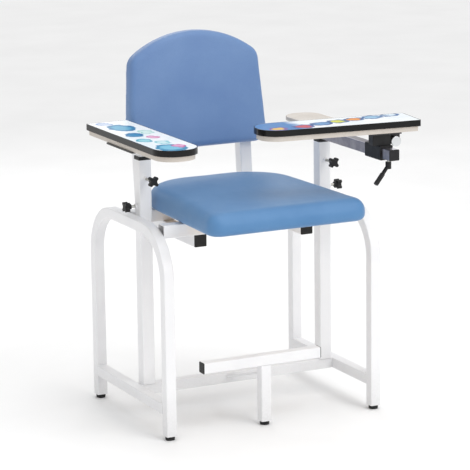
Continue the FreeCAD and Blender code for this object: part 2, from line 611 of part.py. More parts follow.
def left_arm():
    x = LEFT_BOARD_X
    low = LEFT_PLATE_BOTTOM
    add("left_inner_tube", inner_tube(-POST_X, low))
    half = PLATE_WIDTH / 2
    plate = box(x - half, x + half, PLATE_REAR - PLATE_LENGTH, PLATE_REAR, low, BASE_BOTTOM)
    base, core, skin, edge = arm_board(LEFT_BOARD_LENGTH, BOARD_WIDTH, BASE_BOTTOM, BASE_INSET)
    for piece in (base, core, skin, edge):
        piece.translate(Vector(x, LEFT_BOARD_REAR, 0))
    screws = []
    for side in (-1, 1):
        for setback in PLATE_SCREWS:
            spot = (x + side * (half - PLATE_SCREW_EDGE), PLATE_REAR - PLATE_LENGTH + setback, low)
            plate = plate.cut(screw_hole(*spot))
            base = base.cut(screw_hole(*spot))
            screws.append(screw_up(*spot))
    add("left_arm_plate", plate)
    add("left_arm_base", base)
    add("left_board_core", core)
    add("left_board_laminate", skin)
    add("left_board_edging", edge)
    add("left_arm_screws", *screws)


def right_arm():
    x = POST_X
    boom = tube(FRAME_TUBE, (x, BOOM_FRONT, BOOM_Z), (x, BOOM_REAR, BOOM_Z), (1, 0, 0))
    add("right_inner_tube", inner_tube(x, PLATE_BOTTOM))
    add("rear_arm_rest", rear_rest())
    add("boom", boom)
    add("boom_end_caps", tube_cap(FRAME_TUBE, (x, BOOM_FRONT, BOOM_Z), (0, -1, 0)),
        tube_cap(FRAME_TUBE, (x, BOOM_REAR, BOOM_Z), (0, 1, 0)))


def skewed(shape):
    """Turn a piece that sits on the slider out of square, about the upright through the block."""
    shape.rotate(Vector(POST_X, BLOCK_Y, 0), Vector(0, 0, 1), -SKEW)
    return shape


def rear_rest():
    """Short almond rest with rounded ends on top of the rear of the boom."""
    half, low = REST_WIDTH / 2, BOOM_Z + FRAME_MID
    x = POST_X + REST_OUTWARD
    points = [(x - half, REST_REAR - REST_LENGTH, low), (x + half, REST_REAR - REST_LENGTH, low),
              (x + half, REST_REAR, low), (x - half, REST_REAR, low)]
    rest = Part.Face(rounded_outline(points, [REST_CORNER] * 4)).extrude(Vector(0, 0, REST_THICK))
    return rest.makeFillet(REST_EDGE, edges_at(rest, low + REST_THICK))


def slider():
    x, y0, y1 = POST_X, SLIDER_FRONT, SLIDER_FRONT + SLIDER_LENGTH
    outer = Part.Face(square_profile(2 * SLIDER_HALF, TUBE_CORNER, Vector(x, y0, BOOM_Z),
                                     Vector(1, 0, 0), Vector(0, 0, 1)))
    bore = Part.Face(square_profile(FRAME_TUBE + 2 * SLIDE_GAP, TUBE_CORNER, Vector(x, y0, BOOM_Z),
                                    Vector(1, 0, 0), Vector(0, 0, 1)))
    length = Vector(0, y1 - y0, 0)
    sleeve = outer.extrude(length).cut(bore.extrude(length))
    hole = cylinder(LEVER_STUD_RADIUS + THREAD_CLEARANCE, LEVER_FOOT, (0, 0, 1), SLIDER_WALL + 1.0)
    add("slider_sleeve", sleeve.cut(hole))
    left = BLOCK_LEFT
    right = left + BLOCK_WIDTH
    block = box(left, right, BLOCK_Y - BLOCK_DEPTH / 2, BLOCK_Y + BLOCK_DEPTH / 2,
                SLIDER_TOP, BLOCK_TOP)
    block = block.makeFillet(BLOCK_CORNER, [e for e in block.Edges if e.BoundBox.ZLength > 1.0])
    barrel_y = BLOCK_Y - BARREL_LENGTH / 2
    barrel = cylinder(EYE_RADIUS - BARREL_SLACK, (HINGE_X, barrel_y, HINGE_Z), (0, 1, 0), BARREL_LENGTH)
    web = box(right - WEB_OVERLAP, HINGE_X, barrel_y, barrel_y + BARREL_LENGTH,
              HINGE_Z - WEB_HALF, HINGE_Z + WEB_HALF)
    block = block.fuse([barrel, web])
    bore = cylinder(PIN_RADIUS + PIN_CLEARANCE, (HINGE_X, barrel_y, HINGE_Z), (0, 1, 0), BARREL_LENGTH)
    add("hinge_block", skewed(block.cut(bore).removeSplitter()))


def lever():
    x, y, z = LEVER_FOOT
    stud_top = BOOM_BOTTOM - SLIDE_GAP
    stud = cylinder(LEVER_STUD_RADIUS, (x, y, z - LEVER_GAP), (0, 0, 1), stud_top - z + LEVER_GAP)
    hub = cylinder(LEVER_HUB_RADIUS, (x, y, z - LEVER_GAP), (0, 0, -1), LEVER_HUB)
    direction = Vector(*LEVER_DIRECTION).normalize()
    side = direction.cross(Vector(0, 0, 1)).normalize()
    up = side.cross(direction)
    start = Vector(x, y, z - LEVER_GAP - LEVER_HUB / 2)
    wide, thick = LEVER_ARM_HALF_WIDTH, LEVER_ARM_HALF_THICK
    section = [(-wide, -thick), (wide, -thick), (wide, thick), (-wide, thick)]
    points = [tuple(start + side * a + up * b) for a, b in section]
    arm = Part.Face(rounded_outline(points, [LEVER_ARM_CORNER] * 4)).extrude(direction * LEVER_LENGTH)
    grip_length = LEVER_LENGTH * LEVER_GRIP_SHARE
    grip_start = start + direction * (LEVER_LENGTH - grip_length)
    swell = LEVER_GRIP_SWELL
    grip_points = [tuple(grip_start + side * (a * swell) + up * (b * swell)) for a, b in section]
    grip = Part.Face(rounded_outline(grip_points, [LEVER_GRIP_CORNER] * 4)).extrude(direction * grip_length)
    add("clamp_lever", hub.fuse([arm, grip]).removeSplitter())
    add("clamp_lever_stud", stud)


def flip_board():
    base, core, skin, edge = arm_board(FLIP_BOARD_LENGTH, BOARD_WIDTH, FLIP_BASE_BOTTOM, BASE_INSET)
    mid_y = FLIP_BOARD_FRONT + BOARD_WIDTH / 2
    for piece in (base, core, skin, edge):
        piece.rotate(Vector(0, 0, 0), Vector(0, 0, 1), -90)
        piece.translate(Vector(FLIP_BOARD_RIGHT, mid_y, 0))
    left, right = BLOCK_LEFT - LEAF_OVERHANG, HINGE_X + EYE_RADIUS
    plate = box(left, right, BLOCK_Y - LEAF_WIDTH / 2, BLOCK_Y + LEAF_WIDTH / 2, LEAF_BOTTOM,
                FLIP_BASE_BOTTOM)
    knuckles = []
    for sign in (-1, 1):
        inner = BLOCK_Y + sign * (BARREL_LENGTH / 2 + SLIDE_GAP)
        y0 = min(inner, inner + sign * KNUCKLE)
        eye = cylinder(EYE_RADIUS, (HINGE_X, y0, HINGE_Z), (0, 1, 0), KNUCKLE)
        neck = box(HINGE_X - KNUCKLE_NECK, HINGE_X + EYE_RADIUS, y0, y0 + KNUCKLE, HINGE_Z, FLIP_BASE_BOTTOM)
        knuckles += [eye, neck]
    plate = plate.fuse(knuckles)
    bore_y = BLOCK_Y - BARREL_LENGTH
    plate = plate.cut(cylinder(PIN_RADIUS, (HINGE_X, bore_y, HINGE_Z), (0, 1, 0), 2 * BARREL_LENGTH))
    screws = []
    for dx in LEAF_SCREWS_X:
        for dy in LEAF_SCREWS_Y:
            spot = (left + dx, BLOCK_Y + dy, LEAF_BOTTOM)
            hole = screw_hole(*spot)
            plate = plate.cut(hole)
            base = base.cut(hole)
            screws.append(cylinder(SCREW_RADIUS, spot, (0, 0, 1), SCREW_LENGTH))
    add("flip_hinge_leaf", skewed(plate.removeSplitter()))
    add("flip_arm_base", skewed(base))
    add("flip_board_core", skewed(core))
    add("flip_board_laminate", skewed(skin))
    add("flip_board_edging", skewed(edge))
    add("flip_board_screws", *[skewed(screw) for screw in screws])
    reach = BARREL_LENGTH / 2 + SLIDE_GAP + KNUCKLE
    front = BLOCK_Y - reach
    pin = cylinder(PIN_RADIUS, (HINGE_X, front, HINGE_Z), (0, 1, 0), 2 * reach)
    head = cylinder(PIN_HEAD_RADIUS, (HINGE_X, front, HINGE_Z), (0, -1, 0), PIN_HEAD_THICK)
    rim = [e for e in head.Edges if isinstance(e.Curve, Part.Circle)
           and e.CenterOfMass.y < front - PIN_HEAD_THICK / 2]
    head = head.makeFillet(PIN_HEAD_EDGE, rim)
    add("hinge_pin", skewed(pin.fuse(head)))


def knob(face, out, reach):
    """Four-lobed knob and its stud; the stud ends just short of the inner tube."""
    normal = Vector(*out)
    point = Vector(*face)
    side = Vector(0, 0, 1)
    up = normal.cross(side)
    body = Part.makeCylinder(KNOB_CORE_RADIUS, KNOB_THICK, point + normal * reach, normal)
    for k in range(4):
        angle = math.radians(45 + 90 * k)
        centre = side * (KNOB_LOBE_PLACE * math.cos(angle)) + up * (KNOB_LOBE_PLACE * math.sin(angle))
        lobe = Part.makeCylinder(KNOB_RADIUS - KNOB_LOBE_PLACE, KNOB_THICK,
                                 point + normal * reach + centre, normal)
        body = body.fuse(lobe)
        angle = math.radians(90 * k)
        notch = side * (KNOB_NOTCH_PLACE * math.cos(angle)) + up * (KNOB_NOTCH_PLACE * math.sin(angle))
        body = body.cut(Part.makeCylinder(KNOB_NOTCH, KNOB_THICK, point + normal * reach + notch, normal))
    hub = Part.makeCylinder(KNOB_HUB_RADIUS, KNOB_HUB, point + normal * reach, normal * -1)
    body = body.fuse(hub).removeSplitter()
    tip = point - normal * (POST_MID - FRAME_MID - SLIDE_GAP)
    stud = Part.makeCylinder(STUD_RADIUS, (point + normal * (reach - KNOB_HUB) - tip).Length, tip, normal)
    return body, stud


def knobs():
    for name, face, out, reach in knob_frames():
        body, stud = knob(face, out, reach)
        add(name, body)
        add(name + "_stud", stud)


def main():
    base_frame()
    posts()
    feet()
    footrest()
    seat_frame()
    seat()
    back()
    left_arm()
    right_arm()
    slider()
    lever()
    flip_board()
    knobs()
    overall = FreeCAD.BoundBox()
    for shape in PARTS.values():
        overall.add(shape.optimalBoundingBox())
    shift = Vector(-overall.Center.x, -overall.Center.y, -overall.ZMin)
    print("shift to the origin", [round(v, 4) for v in shift])
    print("overall size", round(overall.XLength, 2), round(overall.YLength, 2), round(overall.ZLength, 2))
    os.makedirs("parts", exist_ok=True)
    for name, shape in PARTS.items():
        shape.translate(shift)
        if not shape.isValid() or not shape.Solids:
            print("not a valid solid:", name)
        shape.exportStep(os.path.join("parts", name + ".step"))
    print(len(PARTS), "nodes written")


main()
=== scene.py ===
# %% [markdown]
# # Extra-tall blood-drawing chair
# The hard parts of the chair come from its CAD model, which is loaded here as a fixed frame.
# This lesson gives every hard part a finish worked out from the real material, and makes the
# upholstery by cloth simulation, because vinyl over foam is the one thing CAD draws badly.

# %% Load the frame
import bpy
import bmesh
import json
import math
import numpy as np
from mathutils import Vector, Matrix


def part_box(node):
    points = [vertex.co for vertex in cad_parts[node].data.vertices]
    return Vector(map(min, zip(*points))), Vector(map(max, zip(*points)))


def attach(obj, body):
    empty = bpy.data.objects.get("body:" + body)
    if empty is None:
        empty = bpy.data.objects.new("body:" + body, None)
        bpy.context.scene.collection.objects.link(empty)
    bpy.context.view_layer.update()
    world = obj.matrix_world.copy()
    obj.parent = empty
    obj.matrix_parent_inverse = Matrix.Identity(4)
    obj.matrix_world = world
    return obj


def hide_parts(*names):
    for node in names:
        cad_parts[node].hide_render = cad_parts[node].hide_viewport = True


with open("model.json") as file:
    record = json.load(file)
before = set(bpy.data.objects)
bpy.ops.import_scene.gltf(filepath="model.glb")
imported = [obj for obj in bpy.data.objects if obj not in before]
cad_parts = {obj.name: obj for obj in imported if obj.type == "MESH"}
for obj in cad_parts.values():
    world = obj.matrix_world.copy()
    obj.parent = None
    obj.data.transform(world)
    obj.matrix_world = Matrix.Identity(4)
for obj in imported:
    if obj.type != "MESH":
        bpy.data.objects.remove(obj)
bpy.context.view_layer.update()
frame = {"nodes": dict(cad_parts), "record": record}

MM = 0.001

# %% [markdown]
# ## Camera, light and floor
# A product picture is lit so that no side goes black: one large soft light in front, a weak one from
# the left, one behind, and a wide sun overhead. A sun doesn't fade with distance, so the floor stays
# evenly bright as far as it goes, and it throws light back up under the seat.
# The camera stands far away with a long lens, so that the legs stay almost parallel.

# %% Camera
AZIMUTH = math.radians(-26.07)      # round from straight in front
ELEVATION = math.radians(12.40)
ROLL = math.radians(-0.745)
DISTANCE = 7.380
FOCAL = 190.58                      # on a 36 mm wide sensor
TARGET = Vector((-0.0017, 0.0874, 0.5155))


def place_camera():
    """Put a camera looking at the target from the given angles into the scene."""
    away = Vector((math.sin(AZIMUTH) * math.cos(ELEVATION), -math.cos(AZIMUTH) * math.cos(ELEVATION),
                   math.sin(ELEVATION)))
    right = Vector((0, 0, 1)).cross(away).normalized()
    up = away.cross(right)
    turned_right = right * math.cos(ROLL) + up * math.sin(ROLL)
    turned_up = up * math.cos(ROLL) - right * math.sin(ROLL)
    data = bpy.data.cameras.new("camera")
    data.lens = FOCAL
    data.sensor_width = 36.0
    data.clip_end = 60.0
    camera = bpy.data.objects.new("camera", data)
    turn = Matrix((turned_right, turned_up, away)).transposed()
    camera.matrix_world = Matrix.Translation(TARGET + away * DISTANCE) @ turn.to_4x4()
    bpy.context.scene.collection.objects.link(camera)
    bpy.context.scene.camera = camera


place_camera()
print("camera", [round(v, 3) for v in bpy.context.scene.camera.location])


# %% Soft studio light
def area_light(name, place, aim, size, power, tint=(1.0, 1.0, 1.0)):
    """A square soft light at a place, pointing at a spot."""
    data = bpy.data.lights.new(name, "AREA")
    data.shape = "SQUARE"
    data.size = size
    data.energy = power
    data.color = tint
    lamp = bpy.data.objects.new(name, data)
    lamp.location = place
    lamp.rotation_euler = (Vector(aim) - Vector(place)).to_track_quat("-Z", "Y").to_euler()
    bpy.context.scene.collection.objects.link(lamp)


area_light("front_light", (1.2, -3.6, 2.6), (0, 0, 0.6), 2.4, 52)
area_light("left_fill", (-3.6, -1.2, 1.8), (0, 0, 0.6), 1.6, 9)
area_light("back_light", (0.6, 3.2, 2.8), (0, 0, 0.7), 2.4, 26)
sky = bpy.data.lights.new("top_light", "SUN")
sky.energy = 1.15
sky.angle = math.radians(50)
sky_lamp = bpy.data.objects.new("top_light", sky)
sky_lamp.rotation_euler = (math.radians(14), math.radians(10), 0)
bpy.context.scene.collection.objects.link(sky_lamp)

world = bpy.data.worlds.new("studio")
bpy.context.scene.world = world
world.use_nodes = True
world.node_tree.nodes["Background"].inputs["Color"].default_value = (1.0, 1.0, 1.0, 1.0)
world.node_tree.nodes["Background"].inputs["Strength"].default_value = 0.62
bpy.context.scene.view_settings.view_transform = "Standard"


# %% [markdown]
# ## Tools for materials
# Colours are written as the hex numbers a paint card gives, and turned to the linear values the
# renderer counts in. One function adds a node with its settings and links.

# %% Colour and node helpers
def linear(code):
    """sRGB hex text to a linear colour, fully opaque."""
    values = []
    for k in (0, 2, 4):
        c = int(code[k:k + 2], 16) / 255
        values.append(c / 12.92 if c <= 0.04045 else ((c + 0.055) / 1.055) ** 2.4)
    return (*values, 1.0)


def add(tree, kind, values=None, links=None, **settings):
    """Add a node, set its options and input values, and link other nodes' outputs to its inputs."""
    node = tree.nodes.new(kind)
    for option, value in settings.items():
        setattr(node, option, value)
    for socket, value in (values or {}).items():
        node.inputs[socket].default_value = value
    for socket, source in (links or {}).items():
        tree.links.new(source, node.inputs[socket])
    return node


def start(name, metallic=0.0, roughness=0.5, ior=None, specular=0.5):
    """A new material: its tree, its shader and the object's own coordinates."""
    material = bpy.data.materials.new(name)
    material.use_nodes = True
    tree = material.node_tree
    shader = tree.nodes["Principled BSDF"]
    shader.inputs["Metallic"].default_value = metallic
    shader.inputs["Roughness"].default_value = roughness
    if ior is not None:
        shader.inputs["IOR"].default_value = ior
    shader.inputs["Specular IOR Level"].default_value = specular
    where = add(tree, "ShaderNodeTexCoord").outputs["Object"]
    return material, tree, shader, where


def ramp(tree, source, stops):
    """Colour ramp over a grey value; stops are (position, colour)."""
    node = add(tree, "ShaderNodeValToRGB", links={"Fac": source})
    elements = node.color_ramp.elements
    while len(elements) < len(stops):
        elements.new(0.5)
    for element, (place, colour) in zip(elements, stops):
        element.position = place
        element.color = colour
    return node.outputs["Color"]


def span(tree, source, low, high):
    """Stretch a 0 to 1 value to low to high."""
    return add(tree, "ShaderNodeMapRange", values={"To Min": low, "To Max": high},
               links={"Value": source}).outputs["Result"]


def noise(tree, where, size_mm, detail=2.0, rough=0.5):
    """Noise whose blobs are about size_mm across."""
    node = add(tree, "ShaderNodeTexNoise", values={"Scale": 1 / (size_mm * MM), "Detail": detail,
                                                  "Roughness": rough}, links={"Vector": where})
    return node.outputs["Fac"]


def bump(tree, shader, height, depth_mm, strength=1.0, under=None):
    """Raise the surface by depth_mm times the height pattern."""
    links = {"Height": height}
    if under is not None:
        links["Normal"] = under
    node = add(tree, "ShaderNodeBump", values={"Distance": depth_mm * MM, "Strength": strength}, links=links)
    tree.links.new(node.outputs["Normal"], shader.inputs["Normal"])
    return node.outputs["Normal"]


# %% [markdown]
# ## Powder coat
# The tubes are steel, powder coated white and baked. The powder melts into a skin with a very
# slight orange peel, a few millimetres from hill to hill, that breaks up each highlight. Shoes
# and mops leave a faint grey scuffing near the floor.

# %% Powder coat
SCUFF_HEIGHT = 0.16     # metres off the floor at which the scuffing ends
SCUFF_STRENGTH = 0.35


def powder_coat(name, code, scuff_code, roughness):
    material, tree, shader, where = start(name, roughness=roughness, ior=1.5)
    tone = noise(tree, where, 90, 3)
    paint = ramp(tree, tone, [(0.3, linear(code)), (0.75, linear(scuff_code))])
    height = add(tree, "ShaderNodeSeparateXYZ", links={"Vector": where}).outputs["Z"]
    low = add(tree, "ShaderNodeMapRange", values={"From Min": SCUFF_HEIGHT, "From Max": 0.0},
              links={"Value": height}).outputs["Result"]
    streak = noise(tree, where, 7, 4, 0.7)
    scuffed = add(tree, "ShaderNodeMath", operation="MULTIPLY", links={0: low, 1: streak}).outputs[0]
    limited = add(tree, "ShaderNodeMath", operation="MULTIPLY", values={1: SCUFF_STRENGTH},
                  links={0: scuffed})
    mark = add(tree, "ShaderNodeMix", data_type="RGBA", links={"Factor": limited.outputs[0], "A": paint})
    mark.inputs["B"].default_value = linear("8f8d88")
    tree.links.new(mark.outputs["Result"], shader.inputs["Base Color"])
    tree.links.new(span(tree, noise(tree, where, 14, 2), roughness - 0.05, roughness + 0.07),
                   shader.inputs["Roughness"])
    bump(tree, shader, noise(tree, where, 2.2, 2), 0.05)
    return material


white_powder_coat = powder_coat("white_powder_coat", "f3f3f4", "eeeef0", 0.34)
black_powder_coat = powder_coat("black_powder_coat", "1a1a1c", "222224", 0.42)
print("powder coats ready")


# %% [markdown]
# ## Metals
# The boom is bright zinc-plated tube, a little milky and cloudy. The screws and studs have the same
# plate. The head of the hinge pin is polished chrome, which shows the room and fine rubbing marks.

# %% Zinc plate and chrome
def zinc_plate(name, code, dull_code, roughness):
    material, tree, shader, where = start(name, metallic=1.0, roughness=roughness)
    cloud = noise(tree, where, 22, 4, 0.6)
    tree.links.new(ramp(tree, cloud, [(0.35, linear(code)), (0.7, linear(dull_code))]),
                   shader.inputs["Base Color"])
    stretched = add(tree, "ShaderNodeMapping", values={"Scale": (1.0, 0.06, 1.0)}, links={"Vector": where})
    drawn = noise(tree, stretched.outputs["Vector"], 0.9, 3)
    tree.links.new(span(tree, cloud, roughness - 0.06, roughness + 0.1), shader.inputs["Roughness"])
    bump(tree, shader, drawn, 0.02)
    return material


boom_zinc = zinc_plate("zinc_plated_tube", "a29fa5", "8b888f", 0.36)
screw_zinc = zinc_plate("zinc_plated_screws", "c4c3bd", "a6a59e", 0.30)


def polished_chrome():
    material, tree, shader, where = start("polished_chrome", metallic=1.0, roughness=0.08)
    shader.inputs["Base Color"].default_value = linear("e4e6e8")
    rub = noise(tree, where, 3.0, 5, 0.7)
    tree.links.new(span(tree, rub, 0.04, 0.16), shader.inputs["Roughness"])
    bump(tree, shader, noise(tree, where, 0.7, 2), 0.004)
    return material


chrome = polished_chrome()
print("metals ready")


# %% [markdown]
# ## Moulded plastic
# Caps, knobs, glides and the slider are moulded in black nylon with a fine spark-eroded texture, a
# few tenths of a millimetre, drawn here at twice that so that it shows. The edging of the boards is a
# different plastic: extruded PVC, glossy, with a slight ripple that breaks up each streak of light.

# %% Nylon and edging
def moulded_nylon():
    material, tree, shader, where = start("moulded_black_nylon", roughness=0.5, ior=1.53, specular=0.3)
    tree.links.new(ramp(tree, noise(tree, where, 12, 3), [(0.3, linear("151516")), (0.8, linear("212122"))]),
                   shader.inputs["Base Color"])
    grain = add(tree, "ShaderNodeTexVoronoi", values={"Scale": 1 / (0.7 * MM)}, links={"Vector": where})
    tree.links.new(span(tree, noise(tree, where, 5, 3), 0.40, 0.58), shader.inputs["Roughness"])
    bump(tree, shader, grain.outputs["Distance"], 0.04)
    return material


def glossy_edging():
    material, tree, shader, where = start("extruded_black_edging", roughness=0.2, ior=1.53, specular=0.28)
    tree.links.new(ramp(tree, noise(tree, where, 30, 2), [(0.2, linear("060607")), (0.9, linear("0f0f10"))]),
                   shader.inputs["Base Color"])
    flow = add(tree, "ShaderNodeMapping", values={"Scale": (0.2, 0.2, 3.0)}, links={"Vector": where})
    ripple = noise(tree, flow.outputs["Vector"], 6.0, 2)
    tree.links.new(span(tree, noise(tree, where, 9, 4), 0.12, 0.26), shader.inputs["Roughness"])
    bump(tree, shader, ripple, 0.05)
    return material


black_nylon = moulded_nylon()
black_edging = glossy_edging()
print("plastics ready")


# %% [markdown]
# ## Boards
# The seat and back are screwed to birch plywood. The arm boards have a fibreboard core, and under
# each is a softer-edged board faced with an almond sheet. Wood needs its grain drawn out along
# the board: the same noise, squeezed in every direction but one.

# %% Plywood, fibreboard and almond sheet
def plywood():
    material, tree, shader, where = start("birch_plywood", roughness=0.6)
    along = add(tree, "ShaderNodeMapping", values={"Scale": (1.0, 0.07, 0.07)}, links={"Vector": where})
    grain = noise(tree, along.outputs["Vector"], 5.0, 6, 0.65)
    tree.links.new(ramp(tree, grain, [(0.25, linear("9d7f58")), (0.6, linear("bb9b70"))]),
                   shader.inputs["Base Color"])
    bump(tree, shader, grain, 0.15)
    return material


def fibreboard():
    material, tree, shader, where = start("fibreboard_core", roughness=0.75)
    fibres = noise(tree, where, 1.2, 6, 0.7)
    tree.links.new(ramp(tree, fibres, [(0.3, linear("80654a")), (0.7, linear("a2855f"))]),
                   shader.inputs["Base Color"])
    bump(tree, shader, fibres, 0.1)
    return material


def almond_sheet():
    material, tree, shader, where = start("almond_backing_sheet", roughness=0.42, ior=1.5)
    fleck = noise(tree, where, 1.6, 4, 0.7)
    tone = noise(tree, where, 60, 2)
    base = ramp(tree, tone, [(0.3, linear("d6cfc7")), (0.8, linear("cbc3ba"))])
    flecks = ramp(tree, fleck, [(0.35, linear("c0b7ab")), (0.55, linear("ffffff"))])
    mixed = add(tree, "ShaderNodeMix", data_type="RGBA", blend_type="MULTIPLY", values={"Factor": 0.3},
                links={"A": base, "B": flecks})
    tree.links.new(mixed.outputs["Result"], shader.inputs["Base Color"])
    bump(tree, shader, fleck, 0.03)
    return material


birch = plywood()
core = fibreboard()
almond = almond_sheet()


# %% [markdown]
# ## Printed laminate
# The tops of the arm boards carry a cheerful print for children. Here it is a pattern of this
# lesson's own: a loose row of painted bubbles on white, each with a darker rim and its own filling.
# A bubble is an ellipse in the board's plane whose edge is bent by noise, so that it looks brushed on.
# Print under a clear sheet keeps its colour when seen almost edge on, so the gloss is turned down.

# %% Printed laminate
def bubble(tree, bent, colour, centre, radii, rim_code, fill_code):
    """Paint one bubble over a colour: a filled ellipse with a rim in another colour."""
    placed = add(tree, "ShaderNodeMapping", vector_type="TEXTURE",
                 values={"Location": (*centre, 0), "Scale": (*radii, 1)}, links={"Vector": bent})
    flat = add(tree, "ShaderNodeVectorMath", operation="MULTIPLY", values={1: (1, 1, 0)},
               links={0: placed.outputs["Vector"]})
    reach = add(tree, "ShaderNodeVectorMath", operation="LENGTH", links={0: flat.outputs["Vector"]})
    for outer, soft, code in ((1.0, 0.90, rim_code), (0.76, 0.55, fill_code)):
        mask = add(tree, "ShaderNodeMapRange", interpolation_type="SMOOTHSTEP",
                   values={"From Min": outer, "From Max": soft}, links={"Value": reach.outputs["Value"]})
        layer = add(tree, "ShaderNodeMix", data_type="RGBA",
                    links={"Factor": mask.outputs["Result"], "A": colour})
        layer.inputs["B"].default_value = linear(code)
        colour = layer.outputs["Result"]
    return colour


def printed_laminate(name, bubbles, washes=()):
    """White sheet with washes of colour at its ends and bubbles at given places, all in metres."""
    material, tree, shader, where = start(name, roughness=0.34, ior=1.5, specular=0.16)
    colour = ramp(tree, noise(tree, where, 70, 3), [(0.35, linear("fbfcfd")), (0.7, linear("e8f1f6"))])
    wobble = add(tree, "ShaderNodeTexNoise", values={"Scale": 1 / (26 * MM), "Detail": 3.0},
                 links={"Vector": where})
    centred = add(tree, "ShaderNodeVectorMath", operation="SUBTRACT", values={1: (0.5, 0.5, 0.5)},
                  links={0: wobble.outputs["Color"]})
    bent = add(tree, "ShaderNodeVectorMath", operation="MULTIPLY_ADD", values={1: (0.03, 0.03, 0.0)},
               links={0: centred.outputs["Vector"], 2: where}).outputs["Vector"]
    across = add(tree, "ShaderNodeSeparateXYZ", links={"Vector": bent}).outputs["X"]
    for full_x, none_x, code in washes:
        fade = add(tree, "ShaderNodeMapRange", interpolation_type="SMOOTHSTEP",
                   values={"From Min": none_x, "From Max": full_x}, links={"Value": across})
        wash = add(tree, "ShaderNodeMix", data_type="RGBA",
                   links={"Factor": fade.outputs["Result"], "A": colour})
        wash.inputs["B"].default_value = linear(code)
        colour = wash.outputs["Result"]
    for centre, radii, rim_code, fill_code in bubbles:
        colour = bubble(tree, bent, colour, centre, radii, rim_code, fill_code)
    grain = ramp(tree, noise(tree, where, 4, 4, 0.6), [(0.3, linear("e6eaee")), (0.6, linear("ffffff"))])
    brushed = add(tree, "ShaderNodeMix", data_type="RGBA", blend_type="MULTIPLY", values={"Factor": 0.6},
                  links={"A": colour, "B": grain})
    tree.links.new(brushed.outputs["Result"], shader.inputs["Base Color"])
    tree.links.new(span(tree, noise(tree, where, 25, 4), 0.28, 0.42), shader.inputs["Roughness"])
    bump(tree, shader, noise(tree, where, 1.5, 2), 0.01)
    return material


def along_board(part_name, lengthways, sideways):
    """A spot on a board's top: shares of its box, lengthways from its low end and sideways."""
    low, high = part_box(part_name)
    if high.x - low.x > high.y - low.y:
        return low.x + (high.x - low.x) * lengthways, low.y + (high.y - low.y) * sideways
    return low.x + (high.x - low.x) * sideways, low.y + (high.y - low.y) * lengthways


# each bubble: where on the board, its two radii in metres, its rim and its filling
FIXED_BUBBLES = [
    ((0.1, 0.42), (0.046, 0.056), "2a86b0", "7cc3dd"),
    ((0.13, 0.66), (0.02, 0.026), "c95f9c", "e9a8cb"),
    ((0.27, 0.52), (0.022, 0.03), "8fcfd6", "d3ecee"),
    ((0.36, 0.26), (0.024, 0.03), "4fa9bf", "9ad5df"),
    ((0.44, 0.6), (0.018, 0.022), "d270a6", "efb3d0"),
    ((0.55, 0.34), (0.03, 0.036), "1f6fa3", "2f86b8"),
    ((0.6, 0.74), (0.022, 0.034), "a9d8cf", "dcf1ec"),
    ((0.78, 0.46), (0.04, 0.062), "2b7cac", "5aa9cb"),
    ((0.94, 0.3), (0.026, 0.024), "8fa9d2", "c5d2e8"),
]
FLIP_BUBBLES = [
    ((0.1, 0.42), (0.03, 0.026), "6a3f9a", "e0b84c"),
    ((0.27, 0.4), (0.036, 0.03), "2a4f96", "c8374a"),
    ((0.4, 0.5), (0.036, 0.028), "29508f", "5f93c4"),
    ((0.52, 0.56), (0.034, 0.028), "2a5f95", "d7d84a"),
    ((0.64, 0.6), (0.034, 0.028), "2a5f95", "ee9a45"),
    ((0.77, 0.64), (0.034, 0.028), "2f66a0", "9cc6e2"),
    ((0.9, 0.68), (0.03, 0.024), "2f66a0", "dcebf5"),
]


def placed_bubbles(part_name, bubbles):
    """Bubbles with their shares of the board turned into metres."""
    return [(along_board(part_name, *share), radii, rim, fill) for share, radii, rim, fill in bubbles]


nose_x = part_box("flip_board_laminate")[0].x
fixed_print = printed_laminate("printed_laminate_fixed_arm",
                               placed_bubbles("left_board_laminate", FIXED_BUBBLES))
flip_print = printed_laminate("printed_laminate_flip_arm",
                              placed_bubbles("flip_board_laminate", FLIP_BUBBLES),
                              washes=[(nose_x + 0.10, nose_x + 0.15, "2274b8")])
print("boards ready")


# %% [markdown]
# ## Vinyl
# The covers are blue upholstery vinyl: PVC on a knitted back, embossed with a fine leather grain. The
# pebbles are a little over 1 mm across, drawn here at 1.9 mm so that they show, and the valleys between
# them are darkened with painted shade. It is slightly waxy, so light slides over it in a broad soft
# patch, and its blue is a little uneven over the width of a hand.

# %% Vinyl
def upholstery_vinyl(name, code, pale_code, deep_code):
    material, tree, shader, where = start(name, roughness=0.38, ior=1.48)
    shader.inputs["Sheen Weight"].default_value = 0.12
    shader.inputs["Sheen Roughness"].default_value = 0.4
    cloud = noise(tree, where, 120, 3)
    tone = ramp(tree, cloud, [(0.3, linear(deep_code)), (0.5, linear(code)), (0.72, linear(pale_code))])
    pebbles = add(tree, "ShaderNodeTexVoronoi", feature="DISTANCE_TO_EDGE", values={"Scale": 1 / (1.9 * MM)},
                  links={"Vector": where})
    # painted shade: the colour is darkened in the valleys of the grain, on top of the bump
    painted_valley_shade = ramp(tree, pebbles.outputs["Distance"], [(0.0, linear("c8d2e6")), (0.12, linear("ffffff"))])
    mixed = add(tree, "ShaderNodeMix", data_type="RGBA", blend_type="MULTIPLY", values={"Factor": 0.45},
                links={"A": tone, "B": painted_valley_shade})
    tree.links.new(mixed.outputs["Result"], shader.inputs["Base Color"])
    tree.links.new(span(tree, noise(tree, where, 18, 4), 0.36, 0.50), shader.inputs["Roughness"])
    soft = bump(tree, shader, noise(tree, where, 45, 2), 0.6, 0.35)
    height = add(tree, "ShaderNodeMapRange", values={"From Max": 0.16}, links={"Value":
                 pebbles.outputs["Distance"]}).outputs["Result"]
    bump(tree, shader, height, 0.12, 0.8, under=soft)
    return material


